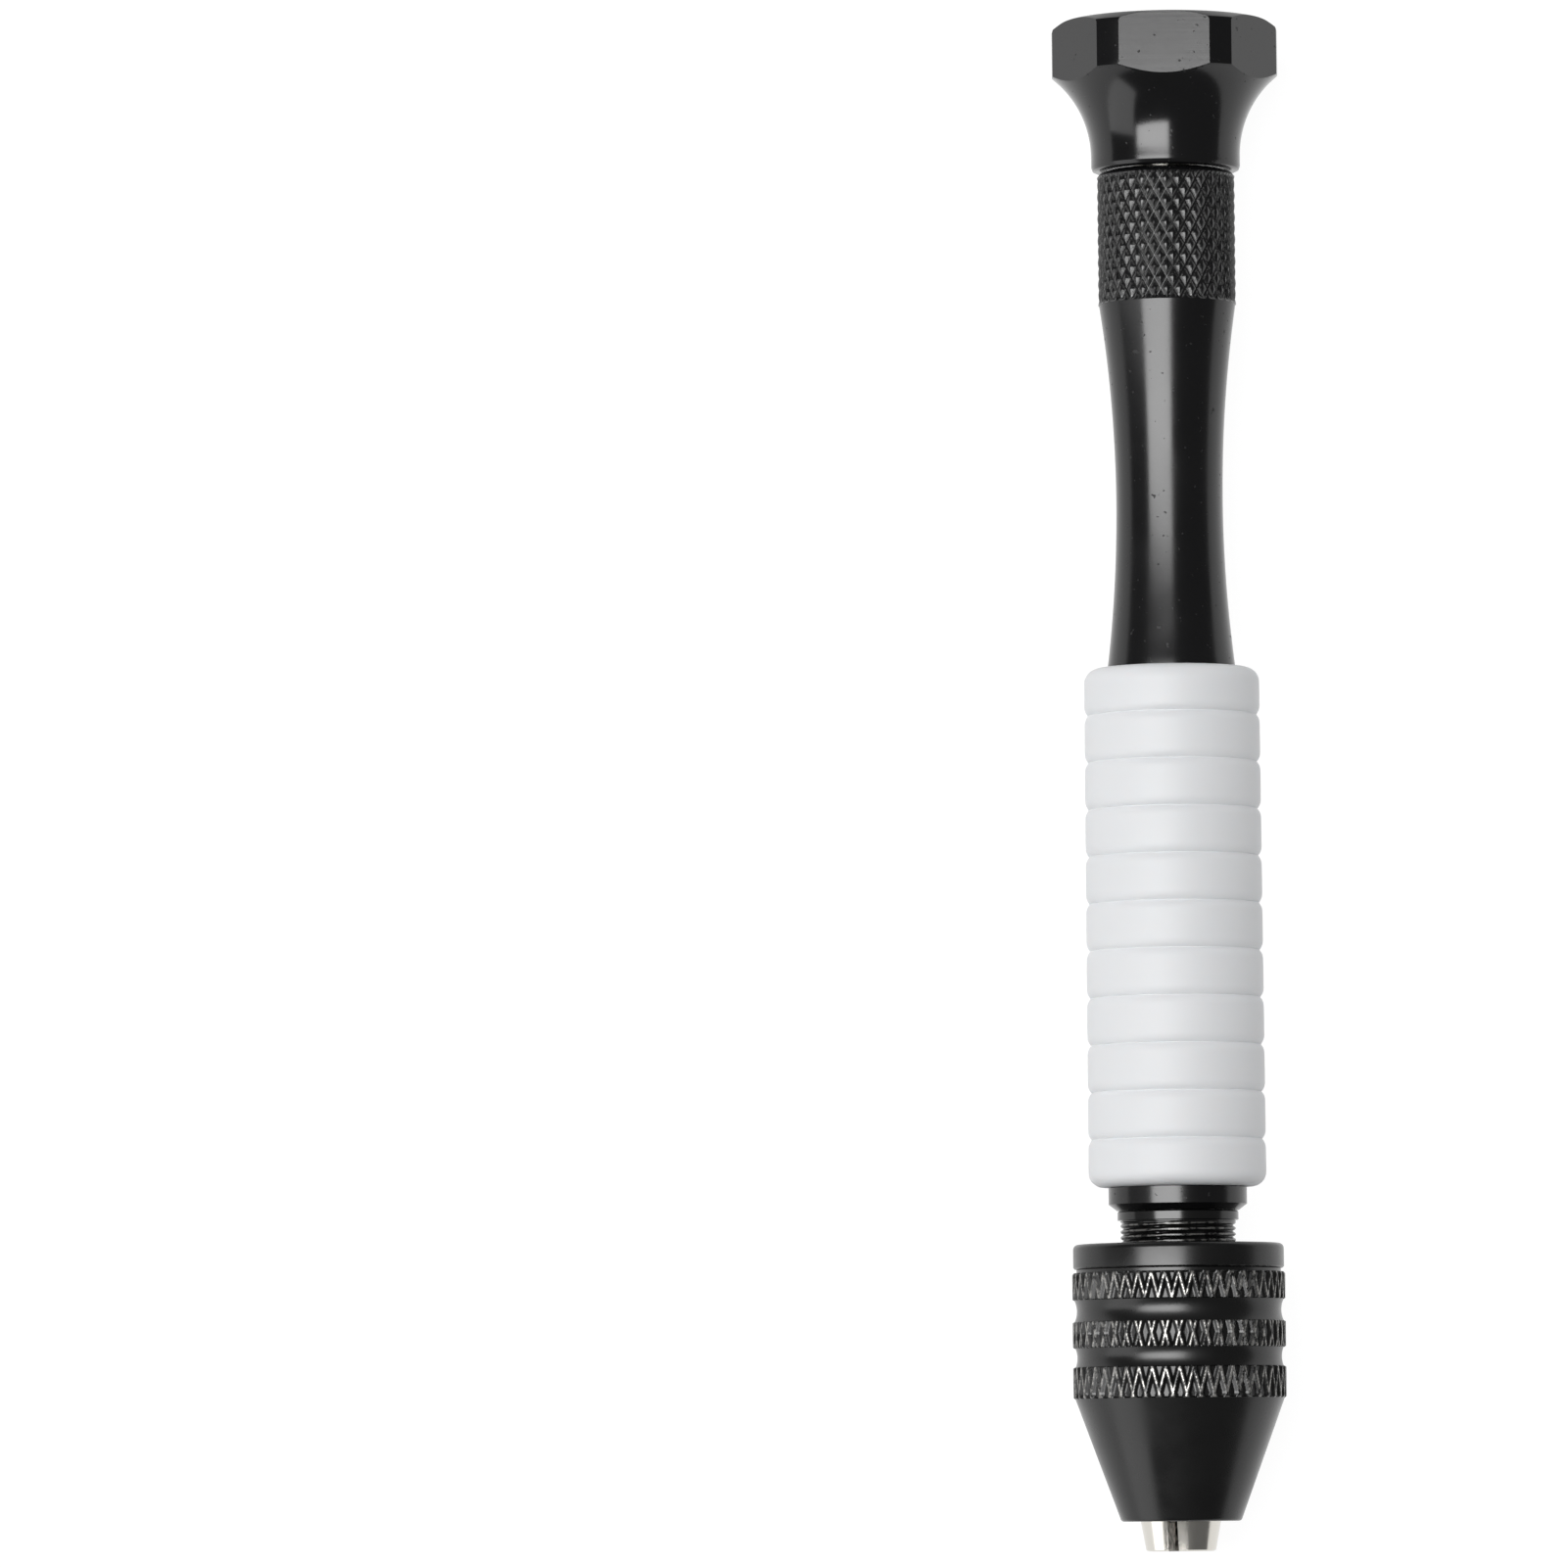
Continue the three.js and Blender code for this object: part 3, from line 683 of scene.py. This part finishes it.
def turned_brass(name):
    """Machined brass: yellow and bright, with turning lines."""
    material = new_material(name)
    rings = node(material, "ShaderNodeTexNoise", {"Scale": 1.0, "Detail": 2.0},
                 {"Vector": stretched(material, (40, 1 / 0.00015, 40)).outputs[0]})
    roughness = node(material, "ShaderNodeMapRange", {"To Min": 0.2, "To Max": 0.38},
                     {"Value": rings.outputs["Fac"]})
    bump = node(material, "ShaderNodeBump", {"Strength": 1.0, "Distance": 1e-6},
                {"Height": rings.outputs["Fac"]})
    return finish_with(material, {"Metallic": 1.0, "Base Color": linear("#c9a35c")},
                       {"Roughness": roughness.outputs[0], "Normal": bump.outputs[0]})


brass = turned_brass("turned_brass")
polished = ground_steel("polished_bearing_steel", "#d9d8d4", 0.08)


def fit(piece, material, cad_node, body):
    """Shades a small round piece and puts it in its CAD node's place."""
    only(piece)
    bpy.ops.object.shade_smooth_by_angle(angle=math.radians(35))
    dress(piece, material)
    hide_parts(cad_node)
    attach(piece, body)


ball_centre = (BALL_PITCH_R, BALL_MIDDLE)
fit(turn("bearing_inner_ring_ground", [
    (2.0, 121.3), (2.1, BEARING_LOW), (2.8, BEARING_LOW), (2.9, 121.3),
    *bend(ball_centre, RACE_R, 180 + race_deg, 180 - race_deg, 12),
    (2.9, 125.1), (2.8, BEARING_HIGH), (2.1, BEARING_HIGH), (2.0, 125.1),
], 96), polished, "bearing_inner_ring", "handle")
fit(turn("bearing_outer_ring_ground", [
    (5.0, 121.35), (5.0, 125.05), (4.85, BEARING_HIGH), (4.2, BEARING_HIGH), (4.1, 125.1),
    *bend(ball_centre, RACE_R, race_deg, -race_deg, 12),
    (4.1, 121.3), (4.2, BEARING_LOW), (4.85, BEARING_LOW),
], 96), polished, "bearing_outer_ring", "cap")
for side, low in (("front", BEARING_LOW), ("rear", BEARING_HIGH - 0.15)):
    fit(turn(f"bearing_{side}_shield_pressed", [
        (3.0, low + 0.02), (3.05, low), (3.9, low), (4.05, low + 0.02), (4.05, low + 0.13),
        (3.9, low + 0.15), (3.05, low + 0.15), (3.0, low + 0.13),
    ], 96), ground, f"bearing_{side}_shield", "cap")
for index in range(BALLS):
    bpy.ops.object.select_all(action="DESELECT")
    bpy.ops.mesh.primitive_ico_sphere_add(
        subdivisions=4, radius=BALL_R * MM,
        location=around(360 * index / BALLS, BALL_PITCH_R, BALL_MIDDLE))
    ball = bpy.context.object
    ball.name = f"bearing_ball_{index + 1}_lapped"
    bpy.ops.object.transform_apply(location=True, rotation=True, scale=True)
    fit(ball, polished, f"bearing_ball_{index + 1}", "bearing_balls")
cage = turn("ball_cage_crown", [
    (3.1, 122.35), (3.15, 122.3), (3.85, 122.3), (3.9, 122.35), (3.9, 124.5), (3.8, 124.6),
    (3.2, 124.6), (3.1, 124.5),
], 140)
for index in range(BALLS):
    bpy.ops.object.select_all(action="DESELECT")
    bpy.ops.mesh.primitive_uv_sphere_add(
        segments=32, ring_count=16, radius=POCKET_R * MM,
        location=around(360 * index / BALLS, BALL_PITCH_R, BALL_MIDDLE))
    pocket = bpy.context.object
    only(cage)
    cut = cage.modifiers.new("pocket", "BOOLEAN")
    cut.object = pocket
    cut.operation = "DIFFERENCE"
    bpy.ops.object.modifier_apply(modifier=cut.name)
    bpy.data.objects.remove(pocket)
fit(in_order(cage), brass, "ball_cage", "bearing_balls")

screw = turn("axle_screw_turned", [
    (0, 113.8), (1.6, 113.8), (1.85, 114.05), (1.85, 125.82), (3.3, 125.82), (3.4, 125.92),
    (3.4, 128.5), (3.1, 128.82), (0, 128.82),
], 96)
drill(screw, on_axis(127.2), on_axis(129.5), 1.7, sides=6)
fit(screw, ground, "axle_screw", "handle")
fit(turn("thrust_washer_turned", [
    (2.0, 125.3), (2.05, 125.26), (3.05, 125.26), (3.1, 125.3), (3.1, 125.7), (3.05, 125.76),
    (2.05, 125.76), (2.0, 125.7),
], 96), brass, "thrust_washer", "handle")
fit(turn("spacer_washer_turned", [
    (2.0, 119.9), (2.05, 119.86), (2.75, 119.86), (2.8, 119.9), (2.8, 121.1), (2.75, 121.14),
    (2.05, 121.14), (2.0, 121.1),
], 96), ground, "spacer_washer", "handle")

# ---------------------------------------------------------------- floor, light and camera
# A white table that glows like a lit sheet, a wide softbox overhead, a low panel on the left and
# a soft fill, seen from straight above the chuck through a long lens.

LENS_DISTANCE = 0.960
floor_material = new_material("white_table")
glow = node(floor_material, "ShaderNodeEmission", {"Color": (1, 1, 1, 1), "Strength": 0.96})
paper = node(floor_material, "ShaderNodeBsdfDiffuse", {"Color": (0.13, 0.13, 0.13, 1)})
both = node(floor_material, "ShaderNodeAddShader", links={0: glow.outputs[0], 1: paper.outputs[0]})
node(floor_material, "ShaderNodeOutputMaterial", links={"Surface": both.outputs[0]})
bpy.ops.object.select_all(action="DESELECT")
bpy.ops.mesh.primitive_plane_add(size=3, location=(0, 0, -0.0002))
table = bpy.context.object
table.name = "white_table"
dress(table, floor_material)

world = bpy.data.worlds.new("studio")
bpy.context.scene.world = world
world.use_nodes = True
world.node_tree.nodes["Background"].inputs["Color"].default_value = (1, 1, 1, 1)
world.node_tree.nodes["Background"].inputs["Strength"].default_value = 0.15


def softbox(name, place, aim, width, height, glow):
    """A flat rectangular light whose face has the brightness glow."""
    light = bpy.data.lights.new(name, "AREA")
    light.shape = "RECTANGLE"
    light.size, light.size_y = width, height
    light.energy = glow * math.pi * width * height
    lamp = bpy.data.objects.new(name, light)
    bpy.context.scene.collection.objects.link(lamp)
    lamp.location = place
    lamp.rotation_euler = (Vector(aim) - Vector(place)).to_track_quat("-Z", "Y").to_euler()
    return lamp


overhead = softbox("overhead_softbox", (-0.515, -0.095, 1.2), (-0.515, -0.095, 0), 1.25, 0.64, 10.8)
overhead.visible_diffuse = False
fill = softbox("fill", (-0.25, 0.1, 0.9), (0, 0, 0), 0.6, 0.6, 6.3)
fill.visible_glossy = False
panel = softbox("left_panel", (-0.8, -0.66, 0.36), (0, -0.66, 0.36), 1.2, 0.72, 1.9)
panel.visible_diffuse = False

bpy.context.scene.view_settings.view_transform = "Standard"

camera_data = bpy.data.cameras.new("long_lens")
camera_data.sensor_width = 36
camera_data.lens = 254.1
camera_data.clip_end = 10
camera = bpy.data.objects.new("long_lens", camera_data)
bpy.context.scene.collection.objects.link(camera)
over_nose = on_axis(2.8) + Vector((0, 0, LENS_DISTANCE))
aim = on_axis(2.8) + Vector((-0.0338, 0.0641, 0))
lean = math.radians(0.545)
backwards = (over_nose - aim).normalized()
up_hint = Vector((math.sin(lean), math.cos(lean), 0))
right = up_hint.cross(backwards).normalized()
up = backwards.cross(right)
turned_to_view = Matrix((right, up, backwards)).transposed().to_4x4()
camera.matrix_world = Matrix.Translation(over_nose) @ turned_to_view
bpy.context.scene.camera = camera
